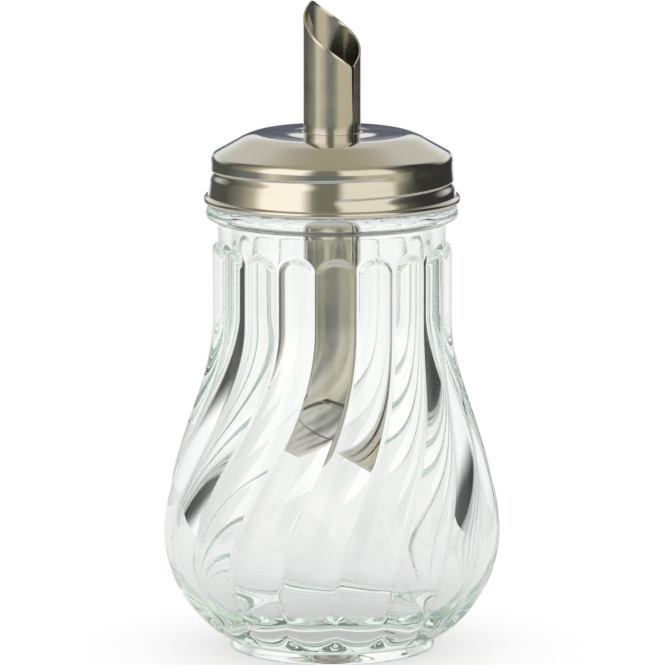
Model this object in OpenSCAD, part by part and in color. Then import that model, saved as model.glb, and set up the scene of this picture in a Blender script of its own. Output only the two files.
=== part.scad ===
// Glass sugar dispenser with a screw cap, a dosing tube and a small flap in the tube.
// Millimetres, +Z up, origin at the centre of the foot. The front looks along -Y, and every
// angle round the axis is counted from the front towards +X.

/* [Jar outline] */
// Radius over the ribs at the widest level
belly_r = 40.1; // [36:0.1:46]
// Height of the widest level
belly_z = 28.6; // [26:0.1:34]
// Radius over the ribs in the straight neck
rib_neck_r = 28.6; // [28:0.1:32]
// Height at which the flank becomes the straight neck
flank_top_z = 80; // [70:0.5:86]
// Radius of the plain band above the ribs
neck_r = 27.2; // [25.5:0.1:27.9]
// Height of the rounded rib tops
arch_z = 97.5; // [92:0.5:99]
// Radius of the foot ring
foot_r = 24.6; // [21:0.1:26]
// Height of the foot ring
foot_h = 3.2; // [2:0.1:5]

/* [Jar ribs] */
// Number of ribs round the jar
rib_count = 18; // [12:1:24]
// Height of a rib over the valleys beside it
rib_height = 1.4; // [0.6:0.1:1.8]
// Angle of the valley to the right of the front rib, in the neck
valley_angle = 12; // [0:1:20]
// Turn of the ribs from the neck to the base
twist_angle = 30.5; // [0:0.5:60]
// Height over which the ribs turn
twist_h = 62; // [40:1:70]
// Half-height of the rounded rib tops
arch_h = 4.5; // [2:0.5:8]

/* [Jar wall] */
// Radius inside the neck
bore_r = 24; // [22:0.1:24.6]
// Radius inside the belly
inner_belly_r = 36.2; // [31:0.1:37.5]
// Radius of the flat floor inside
floor_r = 17.2; // [14:0.1:22]
// Height of the floor inside
floor_z = 8.5; // [6:0.1:12]
// Rise of the hollow under the foot
punt_h = 2.4; // [1:0.1:4]

/* [Jar finish] */
// Radius of the bead below the cap
bead_r = 30; // [28.5:0.1:32]
// Height of the middle of that bead
bead_z = 105; // [103:0.1:105.6]
// Half-height of that bead
bead_half_h = 1.9; // [1:0.1:2.4]
// Radius of the mouth that the cap screws on to, between its threads
finish_r = 26.7; // [25.5:0.1:27]
// Height of the glass rim
rim_z = 117.5; // [115:0.1:120]

/* [Cap] */
// Radius of the skirt
cap_r = 28.8; // [28.4:0.1:31]
// Thickness of the steel sheet of the cap
cap_sheet = 0.4; // [0.3:0.05:0.8]
// Height of the flat top above the shoulder
crown_h = 4.4; // [3:0.1:8]
// Slope of the crown, rise over run
crown_slope = 0.55; // [0.4:0.01:0.8]
// Height of the rolled edge above the bead of the jar
edge_gap = 0.3; // [0.2:0.1:2]
// Radius of the rolled edge of the cap
edge_roll_r = 0.8; // [0.6:0.1:1.4]
// How far the rolled edge stands out from the skirt
edge_out = 1.7; // [1:0.1:2.4]

/* [Seal] */
// Thickness of the sealing ring
seal_t = 1.8; // [1:0.1:3]
// Width of the sealing ring
seal_w = 3.2; // [2:0.1:4]

/* [Tube] */
// Outer radius of the dosing tube
tube_r = 6.8; // [6.5:0.1:8]
// Thickness of its steel sheet
tube_sheet = 0.45; // [0.3:0.05:0.7]
// Height of the lower end of the tube
tube_low_z = 45; // [30:1:48]
// Height of the tip of the mouth above the cap
spout_h = 30.9; // [24:0.1:45]
// Fall of the mouth from its tip to the seam, along each side of the rolled blank
mouth_drop = 14.8; // [10:0.1:18]
// Direction of the open seam, where the mouth is lowest
seam_angle = 46; // [0:1:360]
// Width of the seam below the cap
seam_w = 0.35; // [0.2:0.05:0.8]
// Width of the seam at the mouth
seam_mouth_w = 0.95; // [0.9:0.05:1.6]
// Radius of the sheet's corners beside the seam
seam_corner_r = 1.2; // [0.5:0.1:2]
// Outer radius of the ring that holds the tube under the cap
collar_r = 9; // [8.8:0.1:12]
// Height of that ring
collar_h = 2.2; // [1:0.1:4]

/* [Flap] */
// Direction of the window and its flap, left of the seam
flap_from_seam = 90; // [60:1:180]
// Width of the window in the tube
window_w = 7.4; // [5:0.1:8]
// Height of the bottom of the window above the lower end of the tube
window_above_end = 7.3; // [4:0.1:9]
// Height of the window
window_h = 8.8; // [8:0.1:12]
// Gap between the flap and the window
flap_gap = 0.3; // [0.2:0.05:0.5]
// Radius of the flap's pin
pin_r = 0.5; // [0.4:0.05:0.7]
// Depth of the pin's axis inside the outer face of the tube
pin_inset = 2.4; // [2.2:0.1:2.6]
// Radial play of the flap on its pin
pin_play = 0.05; // [0.03:0.01:0.08]
// How far the pin's ends stand out of the tube
pin_out = 0.4; // [0.2:0.1:0.8]

/* [Hidden] */
$fn = 96;
// Clearance between steel pieces that are pressed together
press_gap = 0.02;
// Overlap that carries a cut clear of a surface
over = 1;

// Lower belly: a quarter of an ellipse, this wide and this high
base_r = 14.7;
base_low_z = 0.6;
base_bulge = belly_r - base_r;
base_drop = belly_z - base_low_z;
// Height over which the ribs fade out above the foot
rib_fade_z = 6;
// Corners of each rib, and levels of each stretch of the outline
rib_steps = 6;
base_steps = 6;
flank_steps = 11;
arch_steps = 7;
inner_steps = 6;
bead_steps = 4;
rim_steps = 36;
// How square the bead is: 1 is round, less is squarer
bead_round = 0.6;
// Height over which a rib rises from the band at its rounded top
arch_soft = 2.2;
// Radius of the rounded edges of foot and rim
foot_edge = 1.3;
rim_edge = 0.9;
// Width of the flat ring that the jar stands on
rest_w = 1.6;
// Width of the ring under the punt's edge
punt_edge = 3;

// Radius of the seal, and how far the crown's underside stands over the shoulder there
seal_r = finish_r;
shoulder_fillet = 1.3;
crown_fillet = 9;
crown_angle = atan(crown_slope);
crown_over_seal = crown_slope * (cap_r - shoulder_fillet * (1 - sin(crown_angle)) - seal_r)
    - shoulder_fillet * (1 - cos(crown_angle)) - cap_sheet / cos(crown_angle);

// Cap levels, from the glass rim and the bead up
shoulder_z = rim_z + seal_t + press_gap - crown_over_seal;
top_z = shoulder_z + crown_h;
skirt_low_z = bead_z + bead_half_h + edge_gap;

// Tube levels
tip_z = top_z + spout_h;
mouth_low_z = tip_z - mouth_drop;
tube_bore_r = tube_r - tube_sheet;
// Share of the mouth's fall that rounds its tip, and the slope of its sides on the flat blank
tip_round = 0.02;
mouth_slope = atan(mouth_drop / (PI * tube_r));

// Inset of the flap's tab from each side of the flap
tab_inset = 0.8;
// Flap levels
flap_angle = seam_angle - flap_from_seam;
window_low_z = tube_low_z + window_above_end;
window_top_z = window_low_z + window_h;
pin_off = tube_r - pin_inset;
knuckle_r = pin_r + pin_play + tube_sheet;
pin_z = window_top_z - knuckle_r - flap_gap;
pin_half = sqrt(pow(tube_r, 2) - pow(pin_off, 2)) + pin_out;
knuckle_w = window_w - 2 * flap_gap - 2 * tab_inset;

// Point at an angle from the front, a radius and a height
function at(angle, r, z) = [r * sin(angle), -r * cos(angle), z];
// Smooth step from 0 to 1
function ease(x) = let (u = max(0, min(1, x))) u * u * (3 - 2 * u);
// Evenly spaced values between two ends
function steps(a, b, n) = [for (k = [0 : n]) a + (b - a) * k / n];

// Outline of the jar over its ribs
function belly_drop(z, w, h) = w * (1 - sqrt(max(0, 1 - pow((belly_z - z) / h, 2))));
function crest_r(z) = z < belly_z
    ? belly_r - belly_drop(z, base_bulge, base_drop)
    : belly_r - (belly_r - rib_neck_r) * ease((z - belly_z) / (flank_top_z - belly_z));
// Height of the ribs: full on the belly, nothing at the foot, and what the band leaves in the neck
function rib_h(z) = z > belly_z
    ? rib_height + (rib_neck_r - neck_r - rib_height) * ease((z - belly_z) / (flank_top_z - belly_z))
    : rib_height * ease((z - foot_h) / rib_fade_z);
// Turn of the ribs at a height
function turn(z) = valley_angle - twist_angle * ease((flank_top_z - z) / twist_h);
// Inside of the jar
inner_drop_h = belly_z - floor_z;
inner_drop_w = inner_belly_r - floor_r;
function inner_r(z) = z < belly_z
    ? inner_belly_r - belly_drop(z, inner_drop_w, inner_drop_h)
    : inner_belly_r - (inner_belly_r - bore_r) * ease((z - belly_z) / (flank_top_z + 2 - belly_z));

// Each level is a height, a base radius, a rib height and the height that sets its turn
function plain(r, z, turn_z = 0) = [z, r, 0, turn_z];
function ribbed(z) = [z, crest_r(z) - rib_h(z), rib_h(z), z];

foot_levels = [
    plain(foot_r - foot_edge - rest_w - punt_edge, punt_h),
    plain(foot_r - foot_edge - rest_w - punt_edge / 3, punt_h / 2),
    plain(foot_r - foot_edge - rest_w, 0),
    plain(foot_r - foot_edge, 0),
    plain(foot_r - foot_edge * 0.3, foot_edge * 0.3),
    plain(foot_r, foot_edge),
    plain(foot_r, foot_h - 0.6)];
base_levels = [for (a = steps(90, 0, base_steps)) ribbed(belly_z - (belly_z - foot_h) * sin(a))];
flank_levels = [for (k = [1 : flank_steps])
    ribbed(belly_z + (arch_z - 2 * arch_h - belly_z) * k / flank_steps)];
arch_levels = [for (z = steps(arch_z - 2 * arch_h + 2, arch_z + 0.4, arch_steps - 1)) ribbed(z)];
bead_levels = [for (a = steps(-90, 90, bead_steps * 2)) let (bulge = pow(max(0, cos(a)), bead_round))
    plain(neck_r + (bead_r - neck_r) * bulge, bead_z + bead_half_h * sin(a), flank_top_z)];
rim_levels = [
    plain(finish_r, bead_z + bead_half_h, flank_top_z),
    plain(finish_r, rim_z - rim_edge, flank_top_z),
    plain(finish_r - rim_edge, rim_z, flank_top_z),
    plain(bore_r + rim_edge, rim_z, flank_top_z),
    plain(bore_r, rim_z - rim_edge, flank_top_z)];
inner_levels = [for (z = steps(flank_top_z + 2, belly_z, inner_steps)) plain(inner_r(z), z, flank_top_z)];
floor_levels = [for (a = steps(0, 90, inner_steps - 2)) if (a > 0)
    plain(inner_r(belly_z - inner_drop_h * sin(a)), belly_z - inner_drop_h * sin(a), flank_top_z)];
jar_levels = concat(foot_levels, base_levels, flank_levels, arch_levels, bead_levels, rim_levels,
    inner_levels, floor_levels);

// Share of its full height that a rib has reached under its rounded top
function arch_share(t, z) = ease((arch_z - arch_h * (1 - sqrt(max(0, 1 - t * t))) - z) / arch_soft);
function jar_point(level, i) = let (
    t = 2 * (i % rib_steps) / rib_steps - 1,
    angle = turn(level[3]) + 360 * i / (rib_count * rib_steps),
    bulge = level[2] * (1 - t * t) * arch_share(t, level[0]))
    at(angle, level[1] + bulge, level[0]);

module glass_jar() {
    n = rib_count * rib_steps;
    last = len(jar_levels) - 1;
    points = [for (level = jar_levels) for (i = [0 : n - 1]) jar_point(level, i)];
    walls = [for (k = [0 : last - 1]) for (i = [0 : n - 1]) let (j = (i + 1) % n)
        each [[k * n + i, (k + 1) * n + i, (k + 1) * n + j], [k * n + i, (k + 1) * n + j, k * n + j]]];
    under = [for (i = [0 : n - 1]) i];
    floor_face = [for (i = [n - 1 : -1 : 0]) last * n + i];
    color([0.86, 0.93, 0.90, 0.35])
    polyhedron(points, concat(walls, [under], [floor_face]), convexity = 8);
}

// Half of the cap's sheet, drawn from the top of the skirt to the hole for the tube
function fillet(centre, r, from, to, n) = [for (a = steps(from, to, n)) centre + r * [cos(a), sin(a)]];
function cap_curve(inset, corner) = let (
    corner_r = shoulder_fillet - inset,
    crown_r = crown_fillet - inset,
    skirt_x = cap_r - inset,
    corner_c = [cap_r - shoulder_fillet, shoulder_z - shoulder_fillet],
    slope_start = corner_c + shoulder_fillet * [sin(crown_angle), cos(crown_angle)],
    flat_x = slope_start[0] - (top_z - slope_start[1]) / crown_slope - crown_fillet * tan(crown_angle / 2),
    crown_c = [flat_x, top_z - crown_fillet])
    concat([[skirt_x, corner]],
        fillet(corner_c, corner_r, 0, 90 - crown_angle, 5),
        fillet(crown_c, crown_r, 90 - crown_angle, 90, 6));

module screw_cap() {
    hole = tube_r + press_gap;
    outer = cap_curve(0, skirt_low_z + 2 * edge_roll_r);
    inner = cap_curve(cap_sheet, skirt_low_z + 2 * edge_roll_r);
    color([0.72, 0.70, 0.65])
    rotate_extrude() {
        polygon(concat(outer, [[hole, top_z], [hole, top_z - cap_sheet]],
            [for (k = [len(inner) - 1 : -1 : 0]) inner[k]]));
        translate([cap_r - cap_sheet, skirt_low_z + edge_roll_r])
        square([cap_sheet, edge_roll_r * 1.6]);
        translate([cap_r + edge_out - edge_roll_r, skirt_low_z + edge_roll_r])
        circle(edge_roll_r, $fn = 32);
        translate([cap_r - cap_sheet, skirt_low_z + edge_roll_r * 0.6])
        square([edge_out - edge_roll_r + cap_sheet, edge_roll_r * 0.8]);
    }
}

// Flat ring between the glass rim and the crown, which meets it at its outer corner
module seal_ring() {
    color([0.93, 0.93, 0.90])
    translate([0, 0, rim_z])
    difference() {
        cylinder(r = seal_r, h = seal_t);
        translate([0, 0, -over])
        cylinder(r = seal_r - seal_w, h = seal_t + 2 * over);
    }
}

// Turns a shape drawn towards +X to an angle from the front
module facing(angle) {
    rotate([0, 0, angle - 90])
    children();
}

// Fall of the mouth's rim at a turn from its tip
function rim_drop(a) = mouth_drop * (norm([a / 180, tip_round]) - tip_round)
    / (norm([1, tip_round]) - tip_round);
function rim_point(a) = [-tube_r * cos(a), tip_z - rim_drop(a)];

// Seam drawn as width over height, with the sheet's corners rounded off at the mouth
module seam_cut() {
    half = seam_w / 2;
    mouth_half = seam_mouth_w / 2;
    corner_z = tip_z - rim_drop(180 - asin(mouth_half / tube_r)) + press_gap
        - seam_corner_r * tan((90 - mouth_slope) / 2);
    corner = [for (a = steps(0, 90 - mouth_slope, 5))
        [mouth_half + seam_corner_r * (1 - cos(a)), corner_z + seam_corner_r * sin(a)]];
    side = concat([[half, tube_low_z - over], [half, top_z]], corner,
        [[corner[5][0], tip_z + over]]);
    mirrored = [for (k = [len(side) - 1 : -1 : 0]) [-side[k][0], side[k][1]]];
    facing(seam_angle)
    rotate([90, 0, 90])
    linear_extrude(tube_r + over)
    polygon(concat(side, mirrored));
}

// Window or flap outline with a round lower end, cut through one side of the tube
module window_shape(width, low, high) {
    facing(flap_angle)
    rotate([90, 0, 90])
    linear_extrude(tube_r + over) {
        translate([0, low + width / 2])
        circle(width / 2);
        translate([-width / 2, low + width / 2])
        square([width, high - low - width / 2]);
    }
}

module pin_hole(r, half) {
    facing(flap_angle)
    translate([pin_off, 0, pin_z])
    rotate([90, 0, 0])
    cylinder(r = r, h = 2 * half, center = true);
}

// Everything above the mouth, whose rim falls evenly with the turn, as on a rolled blank
module mouth_cut() {
    step = 180 / rim_steps;
    rim = [for (k = [1 : rim_steps - 1]) rim_point(step * k)];
    first = rim_point(0) + 5 * (rim_point(0) - rim[0]);
    last = rim_point(180) + 3 * (rim_point(180) - rim_point(180 - step));
    top = tip_z + 5 * over;
    facing(seam_angle)
    rotate([90, 0, 0])
    linear_extrude(4 * tube_r, center = true)
    polygon(concat([first], rim, [last, [tube_r + over, last[1]], [tube_r + over, top], [first[0], top]]));
}

module pour_tube() {
    color([0.70, 0.68, 0.63])
    difference() {
        translate([0, 0, tube_low_z])
        cylinder(r = tube_r, h = tip_z - tube_low_z + over);
        translate([0, 0, tube_low_z - over])
        cylinder(r = tube_bore_r, h = tip_z - tube_low_z + 3 * over);
        mouth_cut();
        seam_cut();
        window_shape(window_w, window_low_z, window_top_z);
        pin_hole(pin_r + press_gap, pin_half + over);
    }
}

// Ring pressed over the tube against the underside of the cap
module tube_collar() {
    color([0.60, 0.59, 0.56])
    translate([0, 0, top_z - cap_sheet - collar_h])
    difference() {
        cylinder(r = collar_r, h = collar_h);
        translate([0, 0, -over])
        cylinder(r = tube_r + press_gap, h = collar_h + 2 * over);
    }
}

// Curved flap that fills the window and hangs from its pin by a bent tab
module dose_flap() {
    width = window_w - 2 * flap_gap;
    low = window_low_z + flap_gap;
    tab_t = tube_sheet;
    color([0.74, 0.75, 0.75])
    difference() {
        union() {
            intersection() {
                window_shape(width, low, pin_z);
                difference() {
                    cylinder(r = tube_r, h = top_z);
                    cylinder(r = tube_bore_r, h = top_z);
                }
            }
            intersection() {
                cylinder(r = tube_bore_r + tube_sheet / 2, h = top_z);
                facing(flap_angle)
                translate([pin_off, -knuckle_w / 2, pin_z - tab_t])
                cube([tube_r, knuckle_w, tab_t]);
            }
            pin_hole(knuckle_r, knuckle_w / 2);
        }
        pin_hole(pin_r + pin_play, knuckle_w);
    }
}

module flap_pin() {
    color([0.62, 0.61, 0.58])
    pin_hole(pin_r, pin_half);
}

glass_jar();
screw_cap();
seal_ring();
pour_tube();
tube_collar();
dose_flap();
flap_pin();
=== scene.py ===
"""Glass sugar dispenser with a screw cap, a dosing tube and a small flap."""
from math import atan, atan2, ceil, cos, degrees, hypot, pi, radians, sin, sqrt, tan

import bpy
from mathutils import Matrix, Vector


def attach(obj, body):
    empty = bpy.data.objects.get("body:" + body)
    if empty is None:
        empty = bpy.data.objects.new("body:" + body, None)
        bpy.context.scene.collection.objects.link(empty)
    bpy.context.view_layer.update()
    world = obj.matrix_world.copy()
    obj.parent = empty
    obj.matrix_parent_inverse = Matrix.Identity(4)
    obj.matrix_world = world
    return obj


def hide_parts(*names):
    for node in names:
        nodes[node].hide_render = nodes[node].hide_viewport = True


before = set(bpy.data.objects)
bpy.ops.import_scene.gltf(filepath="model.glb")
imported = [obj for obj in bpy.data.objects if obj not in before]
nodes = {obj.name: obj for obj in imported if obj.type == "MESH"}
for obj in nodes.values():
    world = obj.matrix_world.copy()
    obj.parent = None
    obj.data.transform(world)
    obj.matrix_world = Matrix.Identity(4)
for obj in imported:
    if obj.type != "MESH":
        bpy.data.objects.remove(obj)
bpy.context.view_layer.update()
MM = 0.001

# Camera
# A long lens from far off, a little above the cap, as a product photographer sets it, with
# the whole dispenser filling the height of a square frame.
CAMERA_DISTANCE = 2.0
CAMERA_ELEVATION = radians(9.3)
CAMERA_AIM = Vector((0.0001, 0, 0.0757))
FRAME_WIDTH = 0.1578
SENSOR = 36

camera_data = bpy.data.cameras.new("photo_camera")
camera_data.sensor_width = SENSOR
camera_data.lens = SENSOR * CAMERA_DISTANCE / FRAME_WIDTH
camera_data.clip_end = 10 * CAMERA_DISTANCE
camera = bpy.data.objects.new("photo_camera", camera_data)
bpy.context.collection.objects.link(camera)
towards_camera = Vector((0, -cos(CAMERA_ELEVATION), sin(CAMERA_ELEVATION)))
camera.location = CAMERA_AIM + CAMERA_DISTANCE * towards_camera
camera.rotation_euler = (pi / 2 - CAMERA_ELEVATION, 0, 0)
bpy.context.scene.camera = camera

# Glass jar
# Pressed clear soda glass. The plunger leaves the inside smooth, and the mould gives the outside
# its ribs, the bead and screw thread of the mouth, and the foot ring that the jar stands on.
BELLY_R, BELLY_Z = 40.06 * MM, 28.6 * MM
NECK_RIB_R, FLANK_TOP_Z = 28.6 * MM, 80 * MM
NECK_R, ARCH_Z = 27.2 * MM, 97.5 * MM
RIB_TOP_Z = ARCH_Z + 1 * MM
BASE_R, BASE_LOW_Z = 14.7 * MM, 0.6 * MM
BASE_BULGE, BASE_DROP = BELLY_R - BASE_R, BELLY_Z - BASE_LOW_Z
FOOT_R, FOOT_H, FOOT_EDGE = 24.6 * MM, 3.2 * MM, 1.3 * MM
PUNT_H, PUNT_R = 2.4 * MM, 18.7 * MM
FOOT_INNER_R, FOOT_INNER_EDGE = PUNT_R + 3.2 * MM, FOOT_EDGE * 0.4
RIBS, RIB_HEIGHT, RIB_FADE_Z = 18, 1.4 * MM, 6 * MM
VALLEY_ANGLE, TWIST_ANGLE, TWIST_H = 12, 30.5, 62 * MM
ARCH_H, ARCH_SOFT = 4.5 * MM, 1.5 * MM
BORE_R, INNER_BELLY_R, FLOOR_R, FLOOR_Z = 24 * MM, 36.2 * MM, 17.2 * MM, 8.5 * MM
BORE_LOW_Z, LEAST_WALL = FLANK_TOP_Z + 2 * MM, 0.8 * MM
BEAD_R, BEAD_Z, BEAD_HALF_H, BEAD_ROUND = 30 * MM, 105 * MM, 1.9 * MM, 0.6
FINISH_R, RIM_Z, RIM_EDGE = 26.7 * MM, 117.5 * MM, 0.9 * MM
THREAD_PITCH, THREAD_START_Z, THREAD_TAPER = 4.4 * MM, 111.2 * MM, 14
GLASS_THREAD_RISE, GLASS_THREAD_H, GLASS_THREAD_SIDE = 1.95 * MM, 1 * MM, 1 * MM
GLASS_THREAD_START, GLASS_THREAD_END = -0.95, 0.72
# Columns of faces for each rib, and rows of faces that are closer where the shape turns faster
RIB_COLUMNS, BASE_TOP_Z, ARCH_LOW_Z = 16, 12 * MM, 84 * MM
BASE_STEP, FLANK_STEP, ARCH_STEP, NECK_STEP, THREAD_STEP = 0.5 * MM, 1 * MM, 0.35 * MM, 1 * MM, 0.25 * MM
BORE_STEP, INNER_STEP, HAIR = 6 * MM, 1.5 * MM, 0.01 * MM
# The underside from the middle of the punt outwards, as shares of its radius and millimetres
# from its height, then millimetres out from its edge, and the step between foot and belly
PUNT_RISE = [(0, 0.5), (0.5, 0.4), (0.85, 0.1)]
PUNT_FALL = [(1, -0.6), (1.8, -1.6)]
FOOT_TOP = [(0, -1.1), (-0.1, -0.7), (-0.2, -0.35)]
GLASS_COLOUR, GLASS_BEND = (0.996, 1, 0.998, 1), 1.5
GREEN_TINT, TINT_DENSITY = (0.45, 0.85, 0.68, 1), 4
# Slow waves of the pressed surface, stronger on the floor, and the fine chill marks of the neck
WAVE_SCALE, WAVE_H, FLOOR_WAVE, FLOOR_WAVE_H = 40, 0.13 * MM, 3.0, 4 * MM
CHILL_SCALE, CHILL_SHARE, CHILL_FADE_H = 700, 0.06, 4 * MM


def ease(x):
    """0 up to 0, 1 from 1 on, and smooth between them."""
    u = max(0.0, min(1.0, x))
    return u * u * (3 - 2 * u)


def arc(centre_r, centre_z, r, start, end, steps):
    """Points round a circle in the outline's plane, angles in degrees from the outward side."""
    angles = [radians(start + (end - start) * k / steps) for k in range(steps + 1)]
    return [(centre_r + r * cos(a), centre_z + r * sin(a)) for a in angles]


def turned(name, outline, columns):
    """Draws an outline of (radius, height) points and spins it round the upright axis."""
    bpy.ops.object.select_all(action="DESELECT")
    bpy.ops.mesh.primitive_plane_add(size=MM)
    piece = bpy.context.object
    piece.name = piece.data.name = name
    bpy.ops.object.mode_set(mode="EDIT")
    bpy.ops.mesh.merge(type="CENTER")
    bpy.ops.transform.translate(value=(outline[0][0], 0, outline[0][1]))
    for (r0, z0), (r1, z1) in zip(outline, outline[1:]):
        bpy.ops.mesh.extrude_region_move(TRANSFORM_OT_translate={"value": (r1 - r0, 0, z1 - z0)})
    bpy.ops.mesh.select_all(action="SELECT")
    bpy.ops.mesh.spin(steps=columns, angle=2 * pi, center=(0, 0, 0), axis=(0, 0, 1))
    bpy.ops.mesh.select_all(action="SELECT")
    bpy.ops.mesh.remove_doubles(threshold=MM / 100)
    bpy.ops.mesh.normals_make_consistent(inside=False)
    bpy.ops.object.mode_set(mode="OBJECT")
    bpy.ops.object.shade_smooth()
    return piece


def crest_r(z):
    """Radius of the outside on the crest of a rib."""
    if z < BELLY_Z:
        return BELLY_R - BASE_BULGE * (1 - sqrt(max(0, 1 - ((BELLY_Z - z) / BASE_DROP) ** 2)))
    return BELLY_R - (BELLY_R - NECK_RIB_R) * ease((z - BELLY_Z) / (FLANK_TOP_Z - BELLY_Z))


def rib_h(z):
    """How far a rib stands out of the valleys beside it."""
    if z > BELLY_Z:
        share = ease((z - BELLY_Z) / (FLANK_TOP_Z - BELLY_Z))
        return RIB_HEIGHT + (NECK_RIB_R - NECK_R - RIB_HEIGHT) * share
    return RIB_HEIGHT * ease((z - FOOT_H) / RIB_FADE_Z)


def inner_r(z):
    """Radius of the smooth inside."""
    if z < BELLY_Z:
        share = 1 - sqrt(max(0, 1 - ((BELLY_Z - z) / (BELLY_Z - FLOOR_Z)) ** 2))
        return INNER_BELLY_R - (INNER_BELLY_R - FLOOR_R) * share
    return INNER_BELLY_R - (INNER_BELLY_R - BORE_R) * ease((z - BELLY_Z) / (BORE_LOW_Z - BELLY_Z))


def valley_turn(z):
    """Angle of the first valley, which turns round the jar below the neck."""
    return radians(VALLEY_ANGLE - TWIST_ANGLE * ease((FLANK_TOP_Z - z) / TWIST_H))


def spaced(low, high, step):
    """Even places from one value to another, no further apart than a step."""
    count = ceil(abs(high - low) / step)
    return [low + (high - low) * k / count for k in range(count + 1)]


outside = [(PUNT_R * share, PUNT_H + rise * MM) for share, rise in PUNT_RISE]
outside += [(PUNT_R + out * MM, PUNT_H + rise * MM) for out, rise in PUNT_FALL]
outside += arc(FOOT_INNER_R, FOOT_INNER_EDGE, FOOT_INNER_EDGE, 210, 270, 3)
outside += arc(FOOT_R - FOOT_EDGE, FOOT_EDGE, FOOT_EDGE, -90, 0, 8)
outside += [(FOOT_R + out * MM, FOOT_H + rise * MM) for out, rise in FOOT_TOP]
ribbed = spaced(FOOT_H, BASE_TOP_Z, BASE_STEP)
ribbed += spaced(BASE_TOP_Z, ARCH_LOW_Z, FLANK_STEP)[1:]
ribbed += spaced(ARCH_LOW_Z, RIB_TOP_Z, ARCH_STEP)[1:]
outside += [(crest_r(z) - rib_h(z), z) for z in ribbed]
neck_top_z = BEAD_Z - BEAD_HALF_H - 0.5 * MM
outside += [(NECK_R, z) for z in spaced(RIB_TOP_Z + 0.6 * MM, neck_top_z, NECK_STEP)]
for a in [radians(degree) for degree in spaced(-89, 89, 7.5)]:
    outside.append((NECK_R + (BEAD_R - NECK_R) * cos(a) ** BEAD_ROUND, BEAD_Z + BEAD_HALF_H * sin(a)))
finish_low_z = BEAD_Z + BEAD_HALF_H + 0.2 * MM
outside += [(FINISH_R, z) for z in spaced(finish_low_z, RIM_Z - RIM_EDGE, THREAD_STEP)]
outside += arc(FINISH_R - RIM_EDGE, RIM_Z - RIM_EDGE, RIM_EDGE, 0, 90, 5)[1:]
inside = arc(BORE_R + RIM_EDGE, RIM_Z - RIM_EDGE, RIM_EDGE, 90, 180, 5)
inside += [(inner_r(z), z) for z in spaced(RIM_Z - 3 * MM, BORE_LOW_Z, BORE_STEP)]
inside += [(inner_r(z), z) for z in spaced(BORE_LOW_Z, BELLY_Z, INNER_STEP)[1:]]
bowl = [BELLY_Z - (BELLY_Z - FLOOR_Z) * sin(radians(degree)) for degree in spaced(0, 90, 4.5)[1:]]
inside += [(inner_r(z), z) for z in bowl]
inside += [(FLOOR_R * 0.66, FLOOR_Z + 0.1 * MM), (FLOOR_R * 0.33, FLOOR_Z + 0.25 * MM)]
inside += [(0, FLOOR_Z + 0.3 * MM)]

jar = turned("jar_body", outside + inside, RIBS * RIB_COLUMNS)


def is_outside(r, z):
    return z < FLOOR_Z - 0.5 * MM or r > inner_r(z) + LEAST_WALL


def thread_share(angle, z, start_turn, end_turn, fall, rise):
    """Share of its height that the right-handed thread has at a place, with tapered ends; it
    runs out over a distance of fall below its middle and of rise above it."""
    share = 0
    for lap in range(-2, 3):
        along = angle / (2 * pi) + lap
        if start_turn <= along <= end_turn:
            above = z - THREAD_START_Z - THREAD_PITCH * along
            across = 1 - ease(above / rise if above > 0 else -above / fall)
            taper = ease((along - start_turn) * THREAD_TAPER) * ease((end_turn - along) * THREAD_TAPER)
            share = max(share, across * taper)
    return share


# The columns are turned a little, so that one of them runs along each valley
column_shift = radians(VALLEY_ANGLE % (360 / (RIBS * RIB_COLUMNS)))
for v in jar.data.vertices:
    x, y, z = v.co
    r, angle = hypot(x, y), atan2(x, -y) + column_shift
    if is_outside(r, z):
        if FOOT_H - HAIR < z < RIB_TOP_Z + HAIR:
            t = 2 * ((angle - valley_turn(FLANK_TOP_Z)) * RIBS / (2 * pi) % 1) - 1
            arch = ease((ARCH_Z - ARCH_H * (1 - sqrt(max(0, 1 - t * t))) - z) / ARCH_SOFT)
            r += rib_h(z) * (1 - t * t) * arch
        elif BEAD_Z + BEAD_HALF_H < z < RIM_Z - RIM_EDGE:
            r += GLASS_THREAD_H * thread_share(
                angle, z - GLASS_THREAD_RISE, GLASS_THREAD_START, GLASS_THREAD_END,
                GLASS_THREAD_SIDE, GLASS_THREAD_SIDE)
        angle += valley_turn(z) - valley_turn(FLANK_TOP_Z)
    v.co = (r * sin(angle), -r * cos(angle), z)


def add(tree, kind, **settings):
    """Adds a node; settings name its properties, and in_0, in_1 and so on its sockets."""
    made = tree.nodes.new(kind)
    for name, value in settings.items():
        if not name.startswith("in_"):
            setattr(made, name, value)
    for name, value in settings.items():
        if name.startswith("in_"):
            made.inputs[int(name[3:])].default_value = value
    return made


def put(node, values):
    """Sets a node's sockets, each given by its name, to plain values."""
    for socket, value in values.items():
        node.inputs[socket].default_value = value


def maths(tree, operation, *values):
    """A maths node fed by sockets or plain numbers; gives its output socket."""
    made = add(tree, "ShaderNodeMath", operation=operation)
    for socket, value in zip(made.inputs, values):
        if isinstance(value, (int, float)):
            socket.default_value = value
        else:
            tree.links.new(value, socket)
    return made.outputs[0]


def between(tree, value, low, high):
    """0 below one value, 1 above another, and smooth between them."""
    made = add(tree, "ShaderNodeMapRange", interpolation_type="SMOOTHSTEP", in_1=low, in_2=high)
    tree.links.new(value, made.inputs[0])
    return made.outputs[0]


def place_on(tree, kind="Object"):
    """The place that is shaded, as a whole and as its three coordinates."""
    place = add(tree, "ShaderNodeTexCoord").outputs[kind]
    parts = add(tree, "ShaderNodeSeparateXYZ")
    tree.links.new(place, parts.inputs[0])
    return place, parts.outputs


def noise(tree, place, scale, detail):
    """A noise texture; gives its output socket."""
    made = add(tree, "ShaderNodeTexNoise")
    put(made, {"Scale": scale, "Detail": detail})
    tree.links.new(place, made.inputs["Vector"])
    return made.outputs[0]


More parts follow.
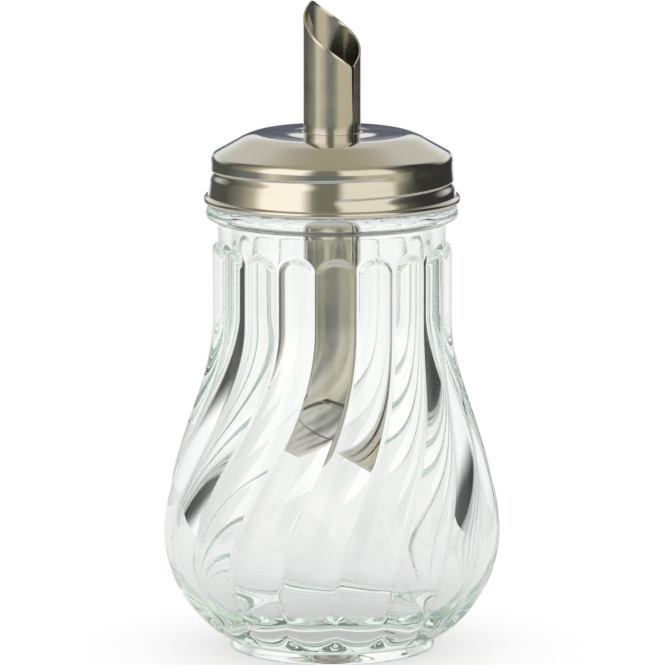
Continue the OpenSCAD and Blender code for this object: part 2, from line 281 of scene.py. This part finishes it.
def uneven(tree, shader, height, strength, distance):
    """Lets a height, from 0 to 1, shape a shader's surface."""
    made = add(tree, "ShaderNodeBump")
    put(made, {"Strength": strength, "Distance": distance})
    tree.links.new(height, made.inputs["Height"])
    tree.links.new(made.outputs[0], shader.inputs["Normal"])


def new_finish(name):
    """A new material, with its node tree and its Principled shader."""
    made = bpy.data.materials.new(name)
    made.use_nodes = True
    return made, made.node_tree, made.node_tree.nodes["Principled BSDF"]


jar_glass, tree, glass = new_finish("pressed_glass")
put(glass, {"Base Color": GLASS_COLOUR, "Transmission Weight": 1, "Roughness": 0, "IOR": GLASS_BEND})
place, (_, _, up) = place_on(tree)
wave = noise(tree, place, WAVE_SCALE, 1)
chill = noise(tree, place, CHILL_SCALE, 1)
on_floor = between(tree, up, FLOOR_Z + FLOOR_WAVE_H, FLOOR_Z)
wave_share = maths(tree, "MULTIPLY_ADD", on_floor, FLOOR_WAVE, 1.0)
in_neck = maths(tree, "MULTIPLY", between(tree, up, RIB_TOP_Z - CHILL_FADE_H, RIB_TOP_Z), CHILL_SHARE)
height = maths(tree, "ADD", maths(tree, "MULTIPLY", wave, wave_share),
               maths(tree, "MULTIPLY", chill, in_neck))
uneven(tree, glass, height, 1, WAVE_H)
tint = add(tree, "ShaderNodeVolumeAbsorption")
put(tint, {"Color": GREEN_TINT, "Density": TINT_DENSITY})
tree.links.new(tint.outputs[0], tree.nodes["Material Output"].inputs["Volume"])
jar.data.materials.append(jar_glass)
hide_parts("glass_jar")
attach(jar, "jar")

# Screw cap
# Thin stainless sheet, drawn and spun: a flat top, a sloping crown and a skirt that flares a
# little, with the screw thread rolled into it as a groove and the edge curled outwards.
CAP_R, CAP_SHEET = 28.8 * MM, 0.4 * MM
CROWN_FOOT_Z, TOP_Z = 118.62 * MM, 123.55 * MM
CROWN_SLOPE, SHOULDER_FILLET, CROWN_FILLET = atan(0.55), 2.3 * MM, 9 * MM
DOME, BOSS_H, BOSS_W = 0.12 * MM, 0.18 * MM, 5 * MM
ROLL_R, ROLL_AXIS_R, ROLL_Z = 0.8 * MM, 29.7 * MM, 108 * MM
FLARE, FLARE_TOP_Z, FLARE_POWER = 0.6 * MM, 115.5 * MM, 1.3
GROOVE_DEPTH, GROOVE_RISE, GROOVE_FALL = 0.55 * MM, 0.5 * MM, 2.0 * MM
GROOVE_START, GROOVE_END = -0.01, 1.09
CAP_HOLE_R = 6.83 * MM
# The edge of the hole is drawn down: millimetres out from the hole and up from the top
HOLE_LIP = [(0.35, 0), (0.1, -0.1), (0, -0.35), (0, -0.8)]
CAP_COLUMNS, SKIRT_STEP, CONE_ROWS, TOP_ROWS = 256, 0.13 * MM, 8, 24


def run(first, last, rows):
    """Even places along a straight stretch of an outline, without its two ends."""
    return [(first[0] + (last[0] - first[0]) * k / rows, first[1] + (last[1] - first[1]) * k / rows)
            for k in range(1, rows)]


skirt = arc(ROLL_AXIS_R, ROLL_Z, ROLL_R, 200, 465, 24)
flare_low_z = skirt[-1][1] + 0.12 * MM
skirt_top_z = CROWN_FOOT_Z - SHOULDER_FILLET * tan((pi / 2 - CROWN_SLOPE) / 2)
for z in spaced(flare_low_z, skirt_top_z, SKIRT_STEP):
    down = max(0, (FLARE_TOP_Z - z) / (FLARE_TOP_Z - flare_low_z))
    skirt.append((CAP_R + FLARE * down ** FLARE_POWER, z))
steepness = 90 - degrees(CROWN_SLOPE)
shoulder = arc(CAP_R - SHOULDER_FILLET, skirt_top_z, SHOULDER_FILLET, 0, steepness, 12)
slope_r, slope_z = shoulder[-1]
flat_r = slope_r - (TOP_Z - slope_z) / tan(CROWN_SLOPE) - CROWN_FILLET * tan(CROWN_SLOPE / 2)
crown = arc(flat_r, TOP_Z - CROWN_FILLET, CROWN_FILLET, steepness, 90, 10)
cone = run(shoulder[-1], crown[0], CONE_ROWS)
top = run((flat_r, TOP_Z), (CAP_HOLE_R, TOP_Z), TOP_ROWS)
lip = [(CAP_HOLE_R + out * MM, TOP_Z + rise * MM) for out, rise in HOLE_LIP]
cap = turned("cap_shell", skirt + shoulder[1:] + cone + crown + top + lip, CAP_COLUMNS)
for v in cap.data.vertices:
    x, y, z = v.co
    r, angle = hypot(x, y), atan2(x, -y)
    if flare_low_z <= z < skirt_top_z:
        r -= GROOVE_DEPTH * thread_share(angle, z, GROOVE_START, GROOVE_END, GROOVE_FALL, GROOVE_RISE)
    elif r < flat_r and z > TOP_Z - HAIR:
        z += DOME * (1 - (r / flat_r) ** 2) + BOSS_H * (1 - ease((r - CAP_HOLE_R) / BOSS_W))
    v.co = (r * sin(angle), -r * cos(angle), z)


def face_outwards(piece, test):
    """Turns an open shell's faces over if the ones that the test picks point to the axis."""
    picked = [p for p in piece.data.polygons if test(p.center)]
    if sum(p.normal.x * p.center.x + p.normal.y * p.center.y for p in picked) < 0:
        piece.data.flip_normals()


def finish_with(piece, kind, **settings):
    """Adds a modifier, sets it up and applies it."""
    bpy.ops.object.select_all(action="DESELECT")
    piece.select_set(True)
    bpy.context.view_layer.objects.active = piece
    step = piece.modifiers.new(kind.lower(), kind)
    for name, value in settings.items():
        setattr(step, name, value)
    bpy.ops.object.modifier_apply(modifier=step.name)


face_outwards(cap, lambda c: ROLL_Z + 2.5 * MM < c.z < skirt_top_z)
finish_with(cap, "SOLIDIFY", thickness=CAP_SHEET, offset=-1, use_even_offset=True)


def effect_group(name, inputs, outputs):
    """A shader node group with plain number inputs and the outputs that are named."""
    group = bpy.data.node_groups.new(name, "ShaderNodeTree")
    for socket, value in inputs.items():
        made = group.interface.new_socket(socket, in_out="INPUT", socket_type="NodeSocketFloat")
        made.default_value = value
    for socket, kind in outputs.items():
        group.interface.new_socket(socket, in_out="OUTPUT", socket_type=kind)
    return group, group.nodes.new("NodeGroupInput"), group.nodes.new("NodeGroupOutput")


def spun_grain():
    """Fine rings left by spinning and polishing, as a bump height and a roughness mask."""
    group, given, out = effect_group(
        "spun_grain", {"Rings": 2600.0, "Streaks": 90.0},
        {"Height": "NodeSocketFloat", "Mask": "NodeSocketFloat"})
    place, (across, along, up) = place_on(group)
    flat = add(group, "ShaderNodeCombineXYZ")
    group.links.new(across, flat.inputs[0])
    group.links.new(along, flat.inputs[1])
    radius = add(group, "ShaderNodeVectorMath", operation="LENGTH")
    group.links.new(flat.outputs[0], radius.inputs[0])
    down_the_cap = maths(group, "SUBTRACT", radius.outputs["Value"], up)
    lines = add(group, "ShaderNodeTexNoise", noise_dimensions="1D")
    put(lines, {"Scale": 1, "Detail": 4})
    group.links.new(maths(group, "MULTIPLY", down_the_cap, given.outputs["Rings"]), lines.inputs["W"])
    group.links.new(lines.outputs[0], out.inputs["Height"])
    cloud = noise(group, place, 1, 5)
    group.links.new(given.outputs["Streaks"], cloud.node.inputs["Scale"])
    group.links.new(cloud, out.inputs["Mask"])
    return group


SPUN_GRAIN = spun_grain()
# The span of a grain's mask over which the sheet goes from smooth to rough
SMOOTH_MASK, ROUGH_MASK = 0.3, 0.7


def steel(name, colour, smooth, rough, grain, grain_h, group):
    """Stainless sheet whose roughness and surface follow a grain group."""
    made, tree, metal = new_finish(name)
    put(metal, {"Base Color": (*colour, 1), "Metallic": 1})
    effect = add(tree, "ShaderNodeGroup", node_tree=group)
    spread = add(tree, "ShaderNodeMapRange", in_1=SMOOTH_MASK, in_2=ROUGH_MASK, in_3=smooth, in_4=rough)
    tree.links.new(effect.outputs["Mask"], spread.inputs[0])
    tree.links.new(spread.outputs[0], metal.inputs["Roughness"])
    uneven(tree, metal, effect.outputs["Height"], grain, grain_h)
    return made


cap_steel = steel("bright_spun_steel", (0.62, 0.60, 0.57), smooth=0.05, rough=0.11,
                  grain=0.10, grain_h=0.01 * MM, group=SPUN_GRAIN)
cap.data.materials.append(cap_steel)
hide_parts("screw_cap")
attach(cap, "cap")

# Dosing tube
# Stainless sheet rolled until its edges nearly meet, so that an open seam runs down its whole
# length. The mouth is ground on a slant, and a window is punched near the lower end.
TUBE_R, TUBE_SHEET = 6.8 * MM, 0.45 * MM
TUBE_LOW_Z, TIP_Z, MOUTH_DROP, TIP_ROUND = 45 * MM, 154.45 * MM, 14.8 * MM, 0.02
SEAM_ANGLE, SEAM_W, SEAM_MOUTH_W, SEAM_CORNER = radians(46), 0.35 * MM, 0.95 * MM, 1.2 * MM
LIP_ANGLE, LIP_FADE_H = radians(15), 4 * MM
WINDOW_ANGLE, WINDOW_W = SEAM_ANGLE - pi / 2, 7.4 * MM
WINDOW_LOW_Z, WINDOW_H = 52.3 * MM, 8.8 * MM
MOUTH_LOW_Z = TIP_Z - MOUTH_DROP
# Columns of faces round the tube, which crowd towards the seam, rows along it, and broken edges
TUBE_COLUMNS, SEAM_CROWDING, TUBE_ROWS, EDGE_BREAK = 200, 0.12, 120, 0.09 * MM


def rim_z(to_edge):
    """Height of the mouth at a distance along the sheet from its edge beside the seam."""
    from_tip = 1 - (to_edge + SEAM_MOUTH_W / 2) / (pi * TUBE_R)
    fall = (hypot(from_tip, TIP_ROUND) - TIP_ROUND) / (hypot(1, TIP_ROUND) - TIP_ROUND)
    return TIP_Z - MOUTH_DROP * fall


corner_turn = pi / 2 - atan(MOUTH_DROP / (pi * TUBE_R))
corner_reach = SEAM_CORNER * (1 - cos(corner_turn))
corner_z = rim_z(0) - SEAM_CORNER * tan(corner_turn / 2)

bpy.ops.object.select_all(action="DESELECT")
bpy.ops.mesh.primitive_grid_add(x_subdivisions=TUBE_COLUMNS, y_subdivisions=TUBE_ROWS, size=1)
tube = bpy.context.object
tube.name = tube.data.name = "tube_sheet"
for v in tube.data.vertices:
    u, share = v.co.x + 0.5, v.co.y + 0.5
    u -= SEAM_CROWDING * sin(2 * pi * u)
    to_edge = min(u, 1 - u) * (2 * pi * TUBE_R - SEAM_MOUTH_W)
    rim = rim_z(to_edge)
    if to_edge < corner_reach:
        rim = corner_z + sqrt(SEAM_CORNER ** 2 - (SEAM_CORNER - to_edge) ** 2)
    z = TUBE_LOW_Z + (rim - TUBE_LOW_Z) * share
    widen = ease((z - TOP_Z) / (MOUTH_LOW_Z - TOP_Z))
    gap = (SEAM_W + (SEAM_MOUTH_W - SEAM_W) * widen) / TUBE_R
    angle = SEAM_ANGLE + gap / 2 + u * (2 * pi - gap)
    past_bend = max(0, angle - SEAM_ANGLE + gap / 2 - 2 * pi + LIP_ANGLE)
    past_bend *= ease((z - TOP_Z) / LIP_FADE_H)
    angle -= past_bend
    flat = TUBE_R * past_bend
    v.co = (TUBE_R * sin(angle) + flat * cos(angle), flat * sin(angle) - TUBE_R * cos(angle), z)
face_outwards(tube, lambda c: True)
bpy.ops.object.shade_smooth()
finish_with(tube, "SOLIDIFY", thickness=TUBE_SHEET, offset=-1, use_even_offset=True)
finish_with(tube, "BEVEL", width=EDGE_BREAK, segments=2, limit_method="ANGLE",
            angle_limit=radians(50))

# The punch for the window: a cylinder laid across, with its upper half lifted
bpy.ops.object.select_all(action="DESELECT")
bpy.ops.mesh.primitive_cylinder_add(vertices=48, radius=WINDOW_W / 2, depth=TUBE_R)
punch = bpy.context.object
bpy.ops.object.mode_set(mode="EDIT")
bpy.ops.mesh.select_all(action="SELECT")
bpy.ops.transform.rotate(value=pi / 2, orient_axis="Y", center_override=(0, 0, 0))
bpy.ops.object.mode_set(mode="OBJECT")
turn = WINDOW_ANGLE - pi / 2
for v in punch.data.vertices:
    along, across, rise = v.co
    rise = rise if rise < 0 else WINDOW_H - WINDOW_W / 2
    along += TUBE_R
    v.co = (along * cos(turn) - across * sin(turn), along * sin(turn) + across * cos(turn),
            WINDOW_LOW_Z + WINDOW_W / 2 + rise)
bpy.ops.object.mode_set(mode="EDIT")
bpy.ops.mesh.normals_make_consistent(inside=False)
bpy.ops.object.mode_set(mode="OBJECT")
finish_with(tube, "BOOLEAN", object=punch, operation="DIFFERENCE", solver="EXACT")
bpy.data.objects.remove(punch)
finish_with(tube, "WEIGHTED_NORMAL", keep_sharp=True)


def drawn_grain():
    """Fine straight lines left by rolling the sheet, as a bump height and a roughness mask."""
    group, given, out = effect_group(
        "drawn_grain", {"Lines": 5200.0, "Length": 60.0, "Clouds": 140.0},
        {"Height": "NodeSocketFloat", "Mask": "NodeSocketFloat"})
    place = add(group, "ShaderNodeTexCoord").outputs["Object"]
    scale = add(group, "ShaderNodeCombineXYZ")
    for socket, size in zip(scale.inputs, ("Lines", "Lines", "Length")):
        group.links.new(given.outputs[size], socket)
    stretch = add(group, "ShaderNodeVectorMath", operation="MULTIPLY")
    group.links.new(place, stretch.inputs[0])
    group.links.new(scale.outputs[0], stretch.inputs[1])
    group.links.new(noise(group, stretch.outputs[0], 1, 3), out.inputs["Height"])
    cloud = noise(group, place, 1, 5)
    group.links.new(given.outputs["Clouds"], cloud.node.inputs["Scale"])
    group.links.new(cloud, out.inputs["Mask"])
    return group


DRAWN_GRAIN = drawn_grain()
tube_steel = steel("rolled_steel", (0.60, 0.58, 0.54), smooth=0.12, rough=0.22,
                   grain=0.12, grain_h=0.02 * MM, group=DRAWN_GRAIN)
tube.data.materials.append(tube_steel)
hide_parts("pour_tube")
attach(tube, "cap")

# Collar, flap and pin
# The collar is a turned ring pressed over the tube under the cap. The flap is punched from the
# same sheet as the tube, curved like it, and hangs by a bent tab from a pin across the tube.
collar_steel = steel("collar_steel", (0.55, 0.54, 0.52), smooth=0.22, rough=0.34,
                     grain=0.2, grain_h=0.03 * MM, group=SPUN_GRAIN)
flap_steel = steel("flap_steel", (0.62, 0.62, 0.61), smooth=0.16, rough=0.26,
                   grain=0.12, grain_h=0.02 * MM, group=DRAWN_GRAIN)
pin_steel = steel("pin_steel", (0.55, 0.54, 0.52), smooth=0.18, rough=0.3,
                  grain=0.1, grain_h=0.01 * MM, group=DRAWN_GRAIN)


def dress(node, finish):
    """Gives a piece that keeps its own solid its finish."""
    piece = nodes[node]
    piece.data.materials.clear()
    piece.data.materials.append(finish)


dress("tube_collar", collar_steel)
dress("dose_flap", flap_steel)
dress("flap_pin", pin_steel)

# Seal
# Soft white plastic, stamped as a flat ring, that the cap presses on to the glass rim.
SEAL_ROUGHNESS, SEAL_SPECKS = 0.55, 900
SEAL_SHADE, SEAL_WHITE = (0.80, 0.80, 0.76, 1), (0.90, 0.90, 0.87, 1)
seal_plastic, tree, plastic = new_finish("seal_plastic")
put(plastic, {"Roughness": SEAL_ROUGHNESS})
place = add(tree, "ShaderNodeTexCoord").outputs["Object"]
tint = add(tree, "ShaderNodeValToRGB")
tint.color_ramp.elements[0].color = SEAL_SHADE
tint.color_ramp.elements[1].color = SEAL_WHITE
tree.links.new(noise(tree, place, SEAL_SPECKS, 2), tint.inputs[0])
tree.links.new(tint.outputs[0], plastic.inputs["Base Color"])
dress("seal_ring", seal_plastic)

# Studio
# A white board to stand on, in plain white light. Metal mirrors a softer room instead: two pale
# soft boxes in front with a dark gap between them, beige walls and ceiling, dark sides and white
# behind. A dark flag stands on each side, seen through the glass alone, and draws its outline.
BOARD_R, BOARD_GREY = 0.3, (0.5, 0.5, 0.5, 1)
BOARD_GLOW, BOARD_GLOW_SEEN = 0.37, 0.56
DARK, DIM, SHADE = (0.05, 0.05, 0.045), (0.12, 0.12, 0.10), (0.19, 0.23, 0.22)
GAP, DUSK, HALF = (0.27, 0.26, 0.19), (0.27, 0.28, 0.23), (0.34, 0.34, 0.26)
LOW_WALL, WALL, BACK_WALL = (0.44, 0.46, 0.38), (0.72, 0.66, 0.48), (0.78, 0.77, 0.67)
LOW_BOX, SOFT_BOX, BOX = (0.90, 0.90, 0.70), (1.18, 1.13, 0.92), (1.55, 1.48, 1.30)
WHITE, CEILING, TABLE = (1.0, 1.0, 1.0), (0.50, 0.46, 0.32), (0.62, 0.58, 0.42)
HORIZON, FLAG = (0.10, 0.11, 0.15), (0.05, 0.055, 0.055)
# Degrees round from the camera's side, to the right, and what metal shows there: level or
# upwards, and below that
UPPER_ROOM = [
    (-180, WHITE), (-166, WHITE), (-160, DIM), (-116, DIM), (-94, HALF), (-79, WALL), (-68, BOX),
    (-30, BOX), (-18, HALF), (-12, GAP), (4, GAP), (12, SOFT_BOX), (58, SOFT_BOX), (66, HALF),
    (76, DIM), (94, DARK), (158, DARK), (164, WHITE), (180, WHITE)]
LOWER_ROOM = [
    (-180, WHITE), (-163, WHITE), (-155, DIM), (-120, DIM), (-95, SHADE), (-76, DUSK),
    (-58, LOW_BOX), (-50, WALL), (-36, LOW_WALL), (-18, SHADE), (8, SHADE), (17, HALF),
    (28, WALL), (64, WALL), (74, HALF), (86, DARK), (155, DARK), (163, WHITE), (180, WHITE)]
# Where one part of the room gives way to the next: upwards as the sine of the angle above level,
# and round as degrees from the camera's side, either way
LEVEL, TABLE_EDGE, CEILING_EDGE = (-0.13, 0.03), (-0.15, -0.2), (0.7, 0.95)
WHITE_BEHIND, WALL_BEHIND, BEHIND = (0.04, 0.2), (0.2, 0.45), (115, 150)
HORIZON_UP, HORIZON_EDGE, HORIZON_ROUND = 0.115, (0.045, 0.055), (162, 168)
FRONT, FLAG_NEAR, FLAG_FAR, FLAG_TOP = (92, 98), (98, 114), (122, 136), (0.4, 0.5)
# The jar bends what the tube inside it mirrors, so the room stands turned for those rays, and
# what has come through more faces of glass than this sees plain white
GLASS_TURN, GLASS_FACES = radians(36), 4
MOST_BOUNCES, MIRROR_BOUNCES, GLASS_BOUNCES = 32, 24, 32

bpy.ops.object.select_all(action="DESELECT")
bpy.ops.mesh.primitive_circle_add(vertices=96, radius=BOARD_R, fill_type="NGON")
board = bpy.context.object
board.name = board.data.name = "studio_board"
board_paint, tree, _ = new_finish("board_paint")
tree.nodes.clear()
out = add(tree, "ShaderNodeOutputMaterial")
matt = add(tree, "ShaderNodeBsdfDiffuse")
put(matt, {"Color": BOARD_GREY})
rays = add(tree, "ShaderNodeLightPath")
lit = add(tree, "ShaderNodeMapRange", in_3=BOARD_GLOW, in_4=BOARD_GLOW_SEEN)
glow = add(tree, "ShaderNodeEmission")
both = add(tree, "ShaderNodeAddShader")
tree.links.new(rays.outputs["Is Camera Ray"], lit.inputs[0])
tree.links.new(lit.outputs[0], glow.inputs["Strength"])
tree.links.new(matt.outputs[0], both.inputs[0])
tree.links.new(glow.outputs[0], both.inputs[1])
tree.links.new(both.outputs[0], out.inputs[0])
board.data.materials.append(board_paint)


def ramp(tree, share, stops):
    """A colour ramp through the given (place, colour) stops; gives its output socket."""
    made = add(tree, "ShaderNodeValToRGB")
    line = made.color_ramp.elements
    line[0].position, line[1].position = stops[0][0], stops[-1][0]
    for place, _ in stops[1:-1]:
        line.new(place)
    for element, (_, colour) in zip(line, stops):
        element.color = (*colour, 1)
    tree.links.new(share, made.inputs[0])
    return made.outputs[0]


def mixed(tree, share, first, second):
    """Mix of two colours, each a socket or a plain colour; gives its output socket."""
    made = add(tree, "ShaderNodeMix", data_type="RGBA")
    tree.links.new(share, made.inputs["Factor"])
    for socket, value in zip((made.inputs[6], made.inputs[7]), (first, second)):
        if isinstance(value, tuple):
            socket.default_value = (*value, 1)
        else:
            tree.links.new(value, socket)
    return made.outputs[2]


def both_of(tree, first, second):
    """Where two masks are both on."""
    return maths(tree, "MULTIPLY", first, second)


def none_of(tree, mask):
    """Where a mask is off."""
    return maths(tree, "SUBTRACT", 1.0, mask)


def past(low, high):
    """0 on the camera's side of one bearing, 1 beyond another, either way round."""
    return between(tree, turned_off, radians(low), radians(high))


world = bpy.data.worlds.new("studio")
world.use_nodes = True
bpy.context.scene.world = world
tree = world.node_tree
tree.nodes.clear()
_, (across, along, up) = place_on(tree, "Generated")
bearing = maths(tree, "ARCTAN2", across, maths(tree, "MULTIPLY", along, -1.0))
turned_off = maths(tree, "ABSOLUTE", bearing)

rays = add(tree, "ShaderNodeLightPath").outputs
few_faces = maths(tree, "LESS_THAN", rays["Transmission Depth"], GLASS_FACES + 0.5)
through_glass = both_of(tree, maths(tree, "GREATER_THAN", rays["Glossy Depth"], 0.5), few_faces)
bent = both_of(tree, through_glass, maths(tree, "GREATER_THAN", rays["Transmission Depth"], 0.5))
seen_at = maths(tree, "MULTIPLY_ADD", bent, -GLASS_TURN, bearing)
around = maths(tree, "MULTIPLY_ADD", seen_at, 0.5 / pi, 0.5)
lower, upper = [ramp(tree, around, [((degree + 180) / 360, colour) for degree, colour in room])
                for room in (LOWER_ROOM, UPPER_ROOM)]

room = mixed(tree, between(tree, up, *LEVEL), lower, upper)
behind = past(*BEHIND)
room = mixed(tree, both_of(tree, behind, between(tree, up, *WHITE_BEHIND)), room, WHITE)
room = mixed(tree, both_of(tree, behind, between(tree, up, *WALL_BEHIND)), room, BACK_WALL)
room = mixed(tree, between(tree, up, *CEILING_EDGE), room, CEILING)
room = mixed(tree, between(tree, up, *TABLE_EDGE), room, TABLE)
from_horizon = maths(tree, "ABSOLUTE", maths(tree, "SUBTRACT", up, HORIZON_UP))
horizon = both_of(tree, past(*HORIZON_ROUND),
                  none_of(tree, between(tree, from_horizon, *HORIZON_EDGE)))
room = mixed(tree, horizon, room, HORIZON)

mirrored = maths(tree, "MAXIMUM", rays["Is Reflection Ray"],
                 both_of(tree, through_glass, none_of(tree, past(*FRONT))))
mirrored = both_of(tree, mirrored, none_of(tree, rays["Is Diffuse Ray"]))
flags = maths(tree, "SUBTRACT", past(*FLAG_NEAR), past(*FLAG_FAR))
flags = both_of(tree, flags, none_of(tree, between(tree, up, *FLAG_TOP)))
flags = both_of(tree, flags, rays["Is Transmission Ray"])
light = add(tree, "ShaderNodeBackground")
tree.links.new(mixed(tree, mirrored, mixed(tree, flags, WHITE, FLAG), room), light.inputs["Color"])
out = add(tree, "ShaderNodeOutputWorld")
tree.links.new(light.outputs[0], out.inputs[0])

bpy.context.scene.view_settings.view_transform = "Standard"
bpy.context.scene.cycles.max_bounces = MOST_BOUNCES
bpy.context.scene.cycles.glossy_bounces = MIRROR_BOUNCES
bpy.context.scene.cycles.transmission_bounces = GLASS_BOUNCES
